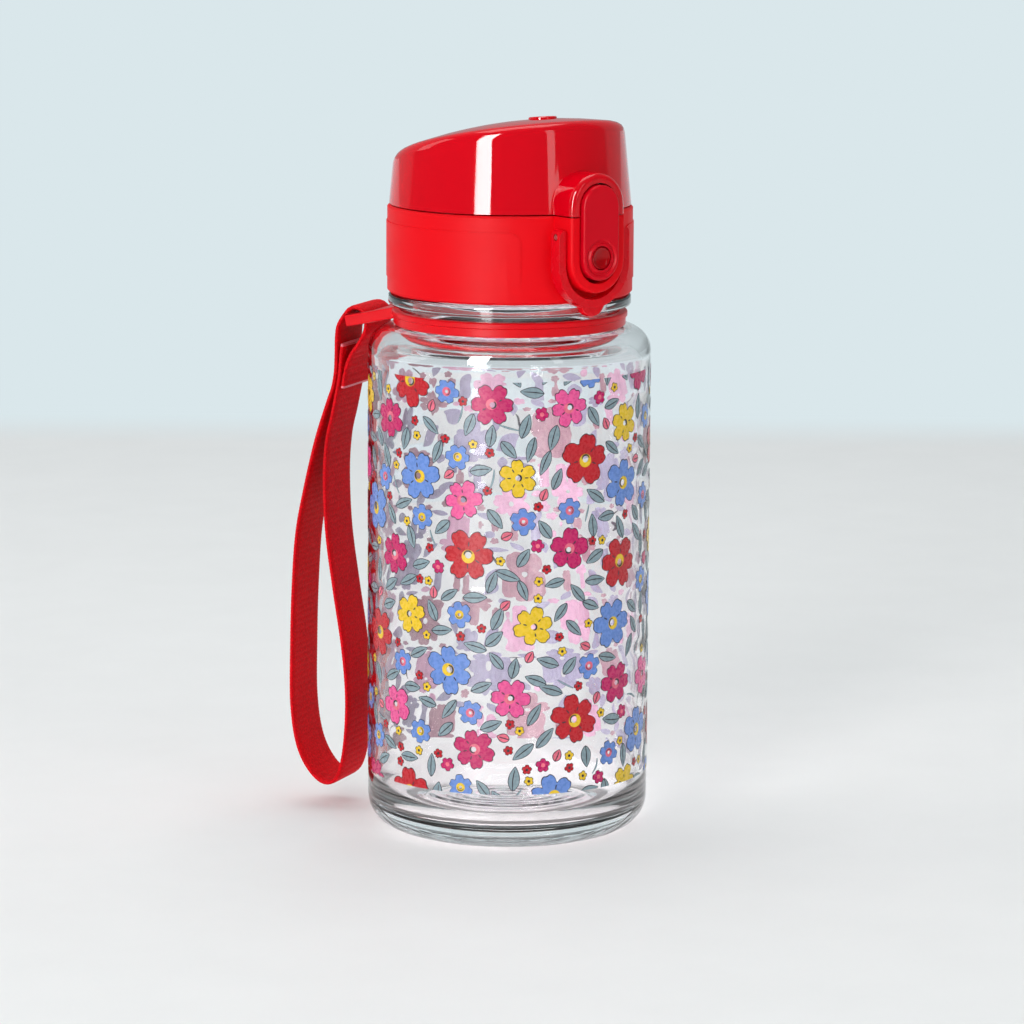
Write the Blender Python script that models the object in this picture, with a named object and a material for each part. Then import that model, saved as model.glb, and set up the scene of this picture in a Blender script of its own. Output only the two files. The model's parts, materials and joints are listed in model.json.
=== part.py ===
"""A kids' water bottle: a clear bottle with a strap ring and a wrist strap, and a one-touch cap.

The meshes are drawn in millimetres and scaled to metres, +Z up. The origin is on the bottle's
axis, on the surface that it stands on. The button faces -Y and the lid hinges at +Y.
"""

import math

import bmesh
import bpy
from mathutils import Matrix, Vector

MM = 0.001

# The bottle
BODY_R = 33.0
BODY_WALL = 2.2
BASE_ROUND = 7.0
BASE_RECESS = 0.8
RECESS_R = 21.5
RECESS_EDGE = 2.0
FLOOR_Z = 5.0
FLOOR_CROWN = 1.6
FLOOR_R = 22.8
SHOULDER_Z = 118.5
SHOULDER_ROUND = 5.3
SHOULDER_INSIDE_ROUND = 4.2
SHOULDER_INSIDE_DROP = 6.6
NECK_R = 25.5
NECK_FILLET = 0.6
MOUTH_FILLET = 2.0
THREAD_ROOT_R = 24.6
NECK_BORE_R = 22.8
BEAD_R = 28.3
BEAD_BOTTOM, BEAD_TOP = 123.7, 126.3
BEAD_ROUND = 0.7
RIM_Z = 141.0
RIM_ROUND = 0.5
ROUND_STEPS = 60

# The screw thread
PITCH = 4.5
THREAD_START_Z = 131.2
THREAD_TURNS = 1.3
CAP_THREAD_TURN = 0.6
THREAD_CREST_R = 25.9
THREAD_FOOT, THREAD_FLAT = 1.15, 0.5
THREAD_SINK = 0.4
THREAD_RUN_OUT = 3
THREAD_LEAST = 0.12
CAP_BORE_R = 26.3
CAP_CREST_R = 25.1

# The strap ring and its ear
RING_BORE_R = 25.8
RING_LOW_R, RING_R = 27.1, 27.5
RING_BOTTOM, RING_STEP, RING_TOP = 119.0, 121.2, 122.4
RING_EDGE = 0.3
EAR_ANGLE = math.radians(122)
EAR_SLOPE = math.radians(12.5)
EAR_HALF = 9.4
EAR_THICK = 2.7
EAR_TIP = 38.2
EAR_ROOT = 3.6
EAR_ROUND = 0.5
SLOT_IN, SLOT_OUT = 31.2, 34.9
SLOT_HALF = 7.8

# The wrist strap
STRAP_WIDTH = 14.6
STRAP_THICK = 1.0
STRAP_LOOP_R = 2.75

# The cap's outer sleeve
SLEEVE_R = 28.55
SLEEVE_BOTTOM, SLEEVE_TOP = 126.65, 146.9
FLANGE_R = 24.0
FLANGE_BOTTOM = 145.2
PANEL_LOW, PANEL_HIGH = 130.3, 143.2
PANEL_FROM, PANEL_TO = math.radians(31), math.radians(149)
PANEL_PROUD = 0.22
PANEL_SINK = 0.8
PANEL_CORNER = 2.8
PANEL_CUTS = 18
SLEEVE_EDGE = 0.5

# The button's housing on the sleeve, and the hood over it on the lid
HOUSING_HALF = 7.6
POCKET_HALF = 5.4
HOUSING_FRONT = -34.2
HOUSING_LOW_CENTRE = 137.0
HOOD_CENTRE = 149.2
SLEEVE_POCKET_BACK = -29.2
HOOD_POCKET_BACK = -30.6
HOUSING_ROOT, HOOD_ROOT = -26.9, -26.6
HOUSING_ROUND, HOOD_ROUND = 0.8, 1.3

# The pivot that the button and the lock bail share
PIVOT_Y, PIVOT_Z = -31.0, 142.5
PIN_R = 0.6
PIN_HALF = 9.75
PIVOT_GAP = 0.25

# The button
BUTTON_HALF = 5.0
BUTTON_LOW, BUTTON_HIGH = 137.4, 149.2
BUTTON_FRONT, BUTTON_BACK = -35.4, -31.9
DOT_Z = 137.6
DOT_R = 2.55
DOT_DISH = 0.55
GROOVE_IN, GROOVE_OUT, GROOVE_DEPTH = 3.2, 4.25, 0.35
LUG_R, LUG_HALF = 1.7, 4.6
NOSE_HALF, NOSE_LOW, NOSE_HIGH = 2.8, 151.4, 152.8
NOSE_GAP = 0.25
SOCKET_GAP, SOCKET_DEPTH = 0.2, 1.6
COIL_R, COIL_WIRE, COIL_TURNS, COIL_Z = 1.9, 0.2, 3, 135.6
COIL_ROOM = 1.0

# The lock bail
BAIL_IN, BAIL_OUT = 7.95, 9.9
BAIL_CENTRE = 135.85
BAIL_TOP = 144.1
BAIL_FRONT, BAIL_BACK = -32.65, -29.35
BAIL_END_ROUND = 1.5
BAIL_ROUND = 0.45
TONGUE_R, TONGUE_Z = 3.4, 127.3
TONGUE_HALF = 5.4
TONGUE_RECESS, TONGUE_CLEAR = 0.35, 0.9

# The lid
LID_R = 28.15
LID_BOTTOM = 147.2
LID_DRAFT = math.tan(math.radians(5.6))
LID_WALL = 1.8
LID_ROUND = 2.2
LID_CROWN = 165.6
LID_SLOPE = 0.232
LID_SAG_X, LID_SAG_Y = 0.0047, 0.0057
GATE_Y = -12.5
GATE_R, GATE_RISE = 3.3, 0.42
CATCH_HALF, CATCH_LOW, CATCH_HIGH = 3.4, 151.0, 153.6
CATCH_DEPTH = 1.2

# The lid's hinge
HINGE_Y, HINGE_Z = 28.6, 148.2
KNUCKLE_R = 2.4
HINGE_PIN_R = 0.8
HINGE_GAP = 0.4
HINGE_BORE_GAP = 0.2
POST_INSET = 0.1
POST_FRONT, POST_BOTTOM = 26.6, 141.0
SPRING_HALF = 3.3
SPRING_R, SPRING_WIRE = 1.65, 0.3
SLEEVE_KNUCKLE = (3.6, 6.0)
LID_KNUCKLE = (6.3, 9.0)
NOTCH_FRONT, NOTCH_BACK, NOTCH_HEADROOM = 24.0, 33.0, 0.3

# The deck, spout and seals
DECK_R = 26.0
DECK_BOTTOM, DECK_TOP = 142.9, 144.9
DECK_EDGE = 0.5
DECK_RIB = 1.2
SPOUT_HOLE_R, VENT_HOLE_R = 5.0, 1.2
SPOUT_Y = -7.0
SPOUT_TOP = 158.3
SPOUT_BORE_R = 3.6
SPOUT_LOW = 141.6
SPOUT_NECK_R, SPOUT_FLANGE_R = 4.7, 8.0
SPOUT_LIP = 0.8
SPOUT_WAIST = ((8.0, 0.8), (6.8, 1.2), (6.2, 2.2))  # radius, and height over the flange's foot
SPOUT_TIP_R, SPOUT_TIP = 5.5, 2.2
O_RING_R, O_RING_WIRE = 6.6, 0.4
SEAT_GAP = 0.3
VENT_Y = 10.0
VALVE_R = 3.0
VALVE_STEM_R, VALVE_BARB_R = 0.9, 1.6
VALVE_LOW, VALVE_BARB_LOW, VALVE_BARB_HIGH = 140.8, 142.5, 142.6
VALVE_DOME_R, VALVE_DOME_SINK = 4.4, 2.8
GASKET_IN, GASKET_OUT, GASKET_THICK = 22.4, 25.4, 1.3
SEAL_R, SEAL_THICK = 7.5, 1.3
SEAL_PLUG = ((0, -0.2), (2.2, -0.1))  # radius, and height over the spout's tip
SEAL_PLUG_R = 2.8
LINER_R, LINER_BOSS_R = 9.0, 6.0
LINER_THICK, LINER_BOSS_FOOT, LINER_RISE = 1.2, 1.6, 2.7
SMOOTH_ANGLE = math.radians(35)


# ---------------------------------------------------------------- tools


def clear_scene():
    for item in list(bpy.data.objects):
        bpy.data.objects.remove(item, do_unlink=True)


def finish(name, color, roughness, alpha=1.0, metallic=0.0):
    made = bpy.data.materials.new(name)
    made.use_nodes = True
    shader = made.node_tree.nodes["Principled BSDF"]
    shader.inputs["Base Color"].default_value = (*color, 1)
    shader.inputs["Roughness"].default_value = roughness
    shader.inputs["Metallic"].default_value = metallic
    shader.inputs["Alpha"].default_value = alpha
    return made


def add(name, bm, surface=None):
    """An object made from a mesh drawn in millimetres."""
    bmesh.ops.remove_doubles(bm, verts=bm.verts, dist=1e-4)
    bmesh.ops.recalc_face_normals(bm, faces=bm.faces)
    bmesh.ops.scale(bm, vec=(MM, MM, MM), verts=bm.verts)
    mesh = bpy.data.meshes.new(name)
    bm.to_mesh(mesh)
    bm.free()
    mesh.shade_smooth()
    mesh.set_sharp_from_angle(angle=SMOOTH_ANGLE)
    if surface:
        mesh.materials.append(surface)
    obj = bpy.data.objects.new(name, mesh)
    bpy.context.scene.collection.objects.link(obj)
    return obj


def combine(obj, operation, others):
    """Booleans obj with helper meshes, which stay hidden."""
    for number, bm in enumerate(others):
        helper = add(f"{obj.name}_{operation.lower()}_{number}", bm)
        helper.hide_render = True
        helper.display_type = "WIRE"
        step = obj.modifiers.new(helper.name, "BOOLEAN")
        step.operation = operation
        step.solver = "EXACT"
        step.object = helper


def join(obj, *others):
    combine(obj, "UNION", others)


def cut(obj, *others):
    combine(obj, "DIFFERENCE", others)


def arc(x, z, radius, start, end, steps):
    """Points on an arc, with angles in degrees."""
    angles = [math.radians(start + (end - start) * i / steps) for i in range(steps + 1)]
    return [(x + radius * math.cos(a), z + radius * math.sin(a)) for a in angles]


def turned(outline, segments=64, y=0.0):
    """A solid turned about a vertical axis from its (radius, z) outline."""
    bm = bmesh.new()
    points = [bm.verts.new((r, 0, z)) for r, z in outline]
    following = points[1:] + points[:1]
    on_axis = outline[0][0] == 0 and outline[-1][0] == 0
    pairs = list(zip(points, following))
    edges = [bm.edges.new(pair) for pair in (pairs[:-1] if on_axis else pairs)]
    bmesh.ops.spin(
        bm, geom=points + edges, cent=(0, 0, 0), axis=(0, 0, 1),
        angle=2 * math.pi, steps=segments, use_merge=True,
    )
    bmesh.ops.remove_doubles(bm, verts=bm.verts, dist=1e-4)
    bmesh.ops.translate(bm, vec=(0, y, 0), verts=bm.verts)
    return bm


def prism(outline, near, far, rounding=0.0, keep_flat_z=None):
    """A solid from an (x, z) outline, from y = near back to y = far, its near edge rounded."""
    bm = bmesh.new()
    front = [bm.verts.new((x, near, z)) for x, z in outline]
    back = [bm.verts.new((x, far, z)) for x, z in outline]
    bm.faces.new(front)
    bm.faces.new(back[::-1])
    for i in range(len(front)):
        j = (i + 1) % len(front)
        bm.faces.new((front[j], front[i], back[i], back[j]))
    bmesh.ops.recalc_face_normals(bm, faces=bm.faces)
    if rounding:
        edges = [
            edge for edge in bm.edges
            if all(abs(v.co.y - near) < 1e-5 for v in edge.verts)
            and not all(keep_flat_z is not None and abs(v.co.z - keep_flat_z) < 1e-4 for v in edge.verts)
        ]
        bmesh.ops.bevel(
            bm, geom=edges, offset=rounding, segments=3, profile=0.5,
            affect="EDGES", clamp_overlap=True,
        )
    return bm


def box(low, high):
    bm = bmesh.new()
    size = Vector(high) - Vector(low)
    centre = (Vector(high) + Vector(low)) / 2
    place = Matrix.Translation(centre) @ Matrix.Diagonal((*size, 1))
    bmesh.ops.create_cube(bm, size=1, matrix=place)
    return bm


def rod(y, z, radius, left, right, segments=24):
    """A cylinder along X, from x = left to x = right."""
    bm = bmesh.new()
    place = Matrix.Translation(((left + right) / 2, y, z)) @ Matrix.Rotation(math.pi / 2, 4, "Y")
    bmesh.ops.create_cone(
        bm, cap_ends=True, segments=segments, radius1=radius, radius2=radius,
        depth=right - left, matrix=place,
    )
    return bm


def swept(sections):
    """A solid through a row of closed sections with the same number of points."""
    bm = bmesh.new()
    rings = [[bm.verts.new(point) for point in section] for section in sections]
    for ring, after in zip(rings, rings[1:]):
        for i in range(len(ring)):
            j = (i + 1) % len(ring)
            bm.faces.new((ring[i], ring[j], after[j], after[i]))
    bm.faces.new(rings[0])
    bm.faces.new(rings[-1][::-1])
    bmesh.ops.recalc_face_normals(bm, faces=bm.faces)
    return bm


def thread(root, crest, start_z, turns, steps=24, start=0.0):
    """A right-handed helical ridge, whose ends run out into the wall."""
    count = round(steps * turns)
    sections = []
    for i in range(count + 1):
        turn = i / steps
        height = min(1, i / THREAD_RUN_OUT, (count - i) / THREAD_RUN_OUT)
        top = root + (crest - root) * max(height, THREAD_LEAST)
        angle = start + 2 * math.pi * turn
        z = start_z + PITCH * turn
        profile = (
            (root, z - THREAD_FOOT), (top, z - THREAD_FLAT),
            (top, z + THREAD_FLAT), (root, z + THREAD_FOOT),
        )
        sections.append([(r * math.cos(angle), r * math.sin(angle), h) for r, h in profile])
    return swept(sections)


def coil(centre, radius, wire, length, turns, sides=5, steps=9):
    """A coil spring along X as one tube."""
    sections = []
    count = round(turns * steps)
    for i in range(count + 1):
        angle = 2 * math.pi * i / steps
        x = centre[0] - length / 2 + length * i / count
        out = Vector((0, math.cos(angle), math.sin(angle)))
        hub = Vector((x, centre[1], centre[2])) + out * radius
        sections.append([
            hub + wire * (out * math.cos(a) + Vector((1, 0, 0)) * math.sin(a))
            for a in (2 * math.pi * k / sides for k in range(sides))
        ])
    return swept(sections)


def about_z(bm, angle):
    bmesh.ops.rotate(bm, cent=(0, 0, 0), matrix=Matrix.Rotation(angle, 3, "Z"), verts=bm.verts)
    return bm


# ---------------------------------------------------------------- the bottle


def bottle_outline():
    """The bottle's section, up the outside from the foot and down the inside."""
    standing = BODY_R - BASE_ROUND
    inner = BODY_R - BODY_WALL
    bead = BEAD_R - BEAD_ROUND
    recess = [
        (0, BASE_RECESS), (RECESS_R - RECESS_EDGE, BASE_RECESS),
        (RECESS_R - RECESS_EDGE * 0.4, BASE_RECESS * 0.6), (RECESS_R, 0),
    ]
    outside = (
        recess
        + arc(standing, BASE_ROUND, BASE_ROUND, -90, 0, 6)
        + arc(BODY_R - SHOULDER_ROUND, SHOULDER_Z - SHOULDER_ROUND, SHOULDER_ROUND, 0, 90, 5)
        + arc(NECK_R + NECK_FILLET, SHOULDER_Z + NECK_FILLET, NECK_FILLET, -90, -180, 1)
        + [(NECK_R, BEAD_BOTTOM - 0.4)]
        + arc(bead, BEAD_BOTTOM + BEAD_ROUND, BEAD_ROUND, -80, 0, 2)
        + arc(bead, BEAD_TOP - BEAD_ROUND, BEAD_ROUND, 0, 80, 2)
        + [(THREAD_ROOT_R + 0.3, BEAD_TOP), (THREAD_ROOT_R, BEAD_TOP + 0.3)]
        + arc(THREAD_ROOT_R - RIM_ROUND, RIM_Z - RIM_ROUND, RIM_ROUND, 0, 90, 1)
    )
    shoulder_inside = SHOULDER_Z - SHOULDER_INSIDE_DROP
    inside = (
        arc(NECK_BORE_R + RIM_ROUND, RIM_Z - RIM_ROUND, RIM_ROUND, 90, 180, 1)
        + arc(NECK_BORE_R + MOUTH_FILLET, SHOULDER_Z, MOUTH_FILLET, 180, 262, 2)
        + arc(inner - SHOULDER_INSIDE_ROUND, shoulder_inside, SHOULDER_INSIDE_ROUND, 80, 0, 3)
        + arc(FLOOR_R, FLOOR_Z + inner - FLOOR_R, inner - FLOOR_R, 0, -90, 5)
        + [(FLOOR_R * k / 4, FLOOR_Z + FLOOR_CROWN * (1 - (k / 4) ** 2)) for k in (3, 2, 0)]
    )
    return outside + inside


def make_bottle():
    clear = finish("clear_copolyester", (0.86, 0.92, 0.94), 0.05, alpha=0.35)
    bottle = add("bottle_body", turned(bottle_outline(), ROUND_STEPS), clear)
    ridge = thread(THREAD_ROOT_R - THREAD_SINK, THREAD_CREST_R, THREAD_START_Z, THREAD_TURNS)
    join(bottle, ridge)


# ---------------------------------------------------------------- strap ring and strap


def make_strap_ring():
    red = finish("ring_polypropylene", (0.72, 0.01, 0.03), 0.4)
    outline = [
        (RING_BORE_R, RING_BOTTOM), (RING_LOW_R - RING_EDGE, RING_BOTTOM),
        (RING_LOW_R, RING_BOTTOM + RING_EDGE), (RING_LOW_R, RING_STEP - RING_EDGE),
        (RING_R, RING_STEP), (RING_R, RING_TOP - RING_EDGE), (RING_R - RING_EDGE, RING_TOP),
        (RING_BORE_R, RING_TOP),
    ]
    ring = add("strap_ring", turned(outline, ROUND_STEPS), red)
    hub = Vector((RING_R, 0, (RING_BOTTOM + RING_TOP) / 2))
    ear = box((-EAR_ROOT, -EAR_HALF, -EAR_THICK / 2), (EAR_TIP - RING_R, EAR_HALF, EAR_THICK / 2))
    bmesh.ops.bevel(
        ear, geom=list(ear.edges), offset=EAR_ROUND, segments=2, profile=0.5, affect="EDGES",
    )
    tilt = Matrix.Translation(hub) @ Matrix.Rotation(EAR_SLOPE, 4, "Y")
    bmesh.ops.transform(ear, matrix=tilt, verts=ear.verts)
    through = 2 * EAR_THICK
    slot = box(
        (SLOT_IN - RING_R, -SLOT_HALF, -through), (SLOT_OUT - RING_R, SLOT_HALF, through),
    )
    bmesh.ops.transform(slot, matrix=tilt, verts=slot.verts)
    low, high = RING_BOTTOM - 7, RING_TOP + 7
    bore = turned([(0, low), (RING_BORE_R, low), (RING_BORE_R, high), (0, high)], ROUND_STEPS)
    join(ring, about_z(ear, EAR_ANGLE))
    cut(ring, about_z(slot, EAR_ANGLE), bore)


def bar_centre():
    """Where the ear's outer bar runs, as (distance out from the axis, height)."""
    along = (SLOT_OUT + EAR_TIP) / 2 - RING_R
    middle = (RING_BOTTOM + RING_TOP) / 2
    return RING_R + along * math.cos(EAR_SLOPE), middle - along * math.sin(EAR_SLOPE)


def smooth_path(points, per_span):
    """A smooth line through a few (out, z) points."""
    padded = [points[0], *points, points[-1]]
    line = []
    for a, b, c, d in zip(padded, padded[1:], padded[2:], padded[3:]):
        a, b, c, d = (Vector(p) for p in (a, b, c, d))
        for i in range(per_span):
            t = i / per_span
            line.append(
                0.5 * (2 * b + (c - a) * t + (2 * a - 5 * b + 4 * c - d) * t**2
                       + (3 * b - a - 3 * c + d) * t**3)
            )
    line.append(Vector(points[-1]))
    return line


def strap_line():
    """The strap's middle line in the ear's plane, from its lower cut end over the bar to its other end."""
    out, z = bar_centre()
    under = [(39.5, 102.2), (39.0, 106.0), (37.6, 109.9), (35.2, 113.4), (33.8, 116.2)]
    over = [(out + x, z + h) for x, h in arc(0, 0, STRAP_LOOP_R, 180, 30, 5)]
    outer_leg = [
        (40.6, 117.2), (41.1, 114.2), (41.2, 110.0), (41.4, 106.0), (42.1, 102.2), (43.4, 98.6),
        (46.5, 89.2), (49.5, 77.0), (51.6, 66.0), (52.6, 52.0), (53.0, 38.0), (53.0, 25.0),
    ]
    foot = [(51.6, 15.5), (48.6, 9.4), (44.6, 6.3), (41.2, 8.0), (39.3, 15.0)]
    inner_leg = [
        (38.6, 27.0), (39.6, 39.5), (41.8, 53.5), (43.7, 67.0), (44.3, 80.0), (43.7, 89.2),
        (42.2, 96.0), (40.9, 102.2), (40.3, 106.0), (39.9, 110.6), (39.5, 112.8),
    ]
    return smooth_path([*under, *over, *outer_leg, *foot, *inner_leg], 2)


def make_strap():
    webbing = finish("strap_webbing", (0.6, 0.01, 0.02), 0.8)
    line = strap_line()
    sections = []
    for i, point in enumerate(line):
        along = (line[min(i + 1, len(line) - 1)] - line[max(i - 1, 0)]).normalized()
        side = Vector((along.y, -along.x)) * STRAP_THICK / 2
        section = []
        for offset, across in ((-1, -1), (-1, 1), (1, 1), (1, -1)):
            place = point + side * offset
            section.append((place.x, across * STRAP_WIDTH / 2, place.y))
        sections.append(section)
    add("wrist_strap", about_z(swept(sections), EAR_ANGLE), webbing)


# ---------------------------------------------------------------- the cap


def oblong(half, low, high, steps=10):
    """An upright oblong's (x, z) outline: round ends centred at low and high."""
    return arc(0, high, half, 0, 180, steps) + arc(0, low, half, 180, 360, steps)


def arch(half, centre, bottom, steps=14):
    """A round-topped arch that stands on z = bottom."""
    return [(half, bottom), *arc(0, centre, half, 0, 180, steps), (-half, bottom)]


def cradle(half, centre, top, steps=14):
    """An arch upside down, open at z = top."""
    return [(-half, top), *arc(0, centre, half, 180, 360, steps), (half, top)]


def grip_panel(turn_from, turn_to):
    """A slightly raised panel with round corners, bent round the sleeve."""
    length = (turn_to - turn_from) * SLEEVE_R
    middle = (PANEL_LOW + PANEL_HIGH) / 2
    half_height = (PANEL_HIGH - PANEL_LOW) / 2
    corner = PANEL_CORNER
    low_in, high_in = corner, length - corner
    outline = (
        arc(high_in, half_height - corner, corner, 90, 0, 4)
        + arc(high_in, corner - half_height, corner, 0, -90, 4)
        + arc(low_in, corner - half_height, corner, -90, -180, 4)
        + arc(low_in, half_height - corner, corner, 180, 90, 4)
    )
    bm = prism(outline, 0, 1)
    for k in range(1, PANEL_CUTS):
        bmesh.ops.bisect_plane(
            bm, geom=list(bm.verts) + list(bm.edges) + list(bm.faces),
            plane_co=(length * k / PANEL_CUTS, 0, 0), plane_no=(1, 0, 0),
        )
    for vert in bm.verts:
        radius = SLEEVE_R + (PANEL_PROUD if vert.co.y < 0.5 else -PANEL_SINK)
        angle = -math.pi / 2 + turn_from + vert.co.x / SLEEVE_R
        vert.co = (radius * math.cos(angle), radius * math.sin(angle), middle + vert.co.z)
    bmesh.ops.recalc_face_normals(bm, faces=bm.faces)
    return bm


def both_sides(span):
    """A span of X and its mirror image."""
    inner, outer = span
    return (inner, outer), (-outer, -inner)


def knuckles(span):
    return [rod(HINGE_Y, HINGE_Z, KNUCKLE_R, a, b, 20) for a, b in both_sides(span)]


def hinge_posts():
    """The upright lugs that carry the sleeve's knuckles."""
    back = HINGE_Y + KNUCKLE_R - 0.2
    return [
        box((a + POST_INSET, POST_FRONT, POST_BOTTOM), (b - POST_INSET, back, HINGE_Z))
        for a, b in both_sides(SLEEVE_KNUCKLE)
    ]


def bore_of(y, z, radius):
    """A cutter right across the cap for a pin along X."""
    return rod(y, z, radius, -12, 12, 16)


def sleeve_outline():
    return [
        (CAP_BORE_R, SLEEVE_BOTTOM), (SLEEVE_R - SLEEVE_EDGE, SLEEVE_BOTTOM),
        (SLEEVE_R, SLEEVE_BOTTOM + SLEEVE_EDGE), (SLEEVE_R, SLEEVE_TOP - SLEEVE_EDGE),
        (SLEEVE_R - SLEEVE_EDGE, SLEEVE_TOP), (FLANGE_R, SLEEVE_TOP),
        (FLANGE_R, FLANGE_BOTTOM), (CAP_BORE_R, FLANGE_BOTTOM),
    ]


def cap_thread():
    """The thread inside the cap, half a pitch away from the neck's."""
    start_z = THREAD_START_Z + PITCH * (CAP_THREAD_TURN / (2 * math.pi) - 0.5)
    root = CAP_BORE_R + THREAD_SINK
    return thread(root, CAP_CREST_R, start_z, THREAD_TURNS, start=CAP_THREAD_TURN)


def make_sleeve():
    matte = finish("sleeve_polypropylene", (0.85, 0.01, 0.03), 0.55)
    sleeve = add("cap_sleeve", turned(sleeve_outline(), ROUND_STEPS), matte)
    housing = prism(
        cradle(HOUSING_HALF, HOUSING_LOW_CENTRE, SLEEVE_TOP), HOUSING_FRONT, HOUSING_ROOT,
        rounding=HOUSING_ROUND, keep_flat_z=SLEEVE_TOP,
    )
    join(
        sleeve, housing, *hinge_posts(), *knuckles(SLEEVE_KNUCKLE),
        grip_panel(PANEL_FROM, PANEL_TO), grip_panel(-PANEL_TO, -PANEL_FROM), cap_thread(),
    )
    pocket = prism(
        cradle(POCKET_HALF, HOUSING_LOW_CENTRE, SLEEVE_TOP + 2), HOUSING_FRONT - 2,
        SLEEVE_POCKET_BACK,
    )
    inner, outer = SLEEVE_KNUCKLE
    gap = KNUCKLE_R + HINGE_GAP
    beside = (outer + 0.001, LID_KNUCKLE[1] + HINGE_GAP)
    lid_gaps = [rod(HINGE_Y, HINGE_Z, gap, a, b, 20) for a, b in both_sides(beside)]
    spring_gap = rod(HINGE_Y, HINGE_Z, gap, -inner, inner, 20)
    hinge_bore = bore_of(HINGE_Y, HINGE_Z, HINGE_PIN_R + HINGE_BORE_GAP)
    pivot_bore = rod(PIVOT_Y, PIVOT_Z, PIN_R + PIVOT_GAP, -9, 9, 16)
    cut(sleeve, pocket, *lid_gaps, spring_gap, hinge_bore, pivot_bore)


def hole_through_deck(radius, segments, y):
    low, high = DECK_BOTTOM - 3, DECK_TOP + 3
    return turned([(0, low), (radius, low), (radius, high), (0, high)], segments, y)


def make_deck():
    """The floor of the cap, which carries the spout and the vent."""
    red = finish("deck_polypropylene", (0.75, 0.01, 0.03), 0.3)
    rib_out = FLANGE_R - 0.3
    outline = [
        (0, DECK_BOTTOM), (DECK_R - DECK_EDGE, DECK_BOTTOM), (DECK_R, DECK_BOTTOM + DECK_EDGE),
        (DECK_R, DECK_TOP), (rib_out, DECK_TOP), (rib_out, DECK_TOP + DECK_RIB),
        (rib_out - DECK_RIB, DECK_TOP + DECK_RIB), (rib_out - DECK_RIB - 0.4, DECK_TOP),
        (0, DECK_TOP),
    ]
    deck = add("spout_deck", turned(outline, 36), red)
    cut(
        deck, hole_through_deck(SPOUT_HOLE_R, 24, SPOUT_Y), hole_through_deck(VENT_HOLE_R, 12, VENT_Y),
    )


def make_spout():
    plastic = finish("spout_plastic", (0.9, 0.9, 0.9), 0.35)
    low = DECK_TOP + 2 * O_RING_WIRE + 2 * SEAT_GAP
    lip_r = SPOUT_NECK_R + 0.2
    outline = [
        (SPOUT_BORE_R, SPOUT_LOW), (SPOUT_NECK_R, SPOUT_LOW), (SPOUT_NECK_R, low),
        (SPOUT_FLANGE_R, low), *[(r, low + h) for r, h in SPOUT_WAIST],
        (SPOUT_TIP_R, SPOUT_TOP - SPOUT_TIP),
        *arc(lip_r, SPOUT_TOP - SPOUT_LIP, SPOUT_LIP, 0, 90, 3), (SPOUT_BORE_R, SPOUT_TOP),
    ]
    add("spout", turned(outline, 24, SPOUT_Y), plastic)


def make_seals():
    silicone = finish("seal_silicone", (0.85, 0.87, 0.88), 0.4)
    low = RIM_Z + SEAT_GAP
    high = low + GASKET_THICK
    gasket = [(GASKET_IN, low), (GASKET_OUT, low), (GASKET_OUT, high), (GASKET_IN, high)]
    add("neck_gasket", turned(gasket, 36), silicone)

    o_ring = arc(O_RING_R, DECK_TOP + SEAT_GAP + O_RING_WIRE, O_RING_WIRE, 0, 315, 7)
    add("spout_o_ring", turned(o_ring, 24, SPOUT_Y), silicone)

    seat = DECK_TOP + SEAT_GAP
    valve = [
        (0, VALVE_LOW), (VALVE_BARB_R - 0.4, VALVE_LOW + 0.2), (VALVE_BARB_R, VALVE_BARB_LOW),
        (VALVE_STEM_R, VALVE_BARB_HIGH), (VALVE_STEM_R, seat), (VALVE_R, seat),
        (VALVE_R, seat + 0.4), *arc(0, DECK_TOP - VALVE_DOME_SINK, VALVE_DOME_R, 55, 90, 3),
    ]
    valve[-1] = (0, valve[-1][1])
    add("vent_valve", turned(valve, 16, VENT_Y), silicone)

    seat = SPOUT_TOP + SEAT_GAP
    seal = [
        *[(r, SPOUT_TOP + h) for r, h in SEAL_PLUG], (SEAL_PLUG_R, seat), (SEAL_R, seat),
        (SEAL_R, seat + SEAL_THICK), (0, seat + SEAL_THICK),
    ]
    add("spout_seal", turned(seal, 24, SPOUT_Y), silicone)


# ---------------------------------------------------------------- the lid


def lid_height(x, y):
    """The crowned top, high over the button and low at the hinge."""
    return LID_CROWN - LID_SLOPE * y - LID_SAG_X * x * x - LID_SAG_Y * y * y


def lid_section(angle):
    """The lid's section at one angle, from the top's middle out, down the wall and back inside."""
    c, s = math.cos(angle), math.sin(angle)

    def wall(z):
        return LID_R - (z - LID_BOTTOM) * LID_DRAFT

    def top(r, sink=0.0):
        return lid_height(r * c, r * s) - sink

    corner = top(wall(165))
    for _ in range(4):
        corner = top(wall(corner))
    start = Vector((wall(corner) - LID_ROUND, top(wall(corner) - LID_ROUND)))
    middle = Vector((wall(corner), corner))
    end = Vector((wall(corner - LID_ROUND), corner - LID_ROUND))
    edge = [start * (1 - t) ** 2 + middle * 2 * t * (1 - t) + end * t * t for t in (0, 0.25, 0.5, 0.75, 1)]
    outer = [(start.x * k / 5, top(start.x * k / 5)) for k in range(1, 5)] + [tuple(p) for p in edge]
    inner_top = wall(corner - LID_WALL) - LID_WALL
    low = [
        (LID_R, LID_BOTTOM + 0.01), (LID_R - LID_WALL, LID_BOTTOM),
        (inner_top, top(inner_top, LID_WALL)),
    ]
    inner = [(inner_top * k / 3, top(inner_top * k / 3, LID_WALL)) for k in (2, 1)]
    return [(r * c, r * s, z) for r, z in outer + low + inner]


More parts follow.
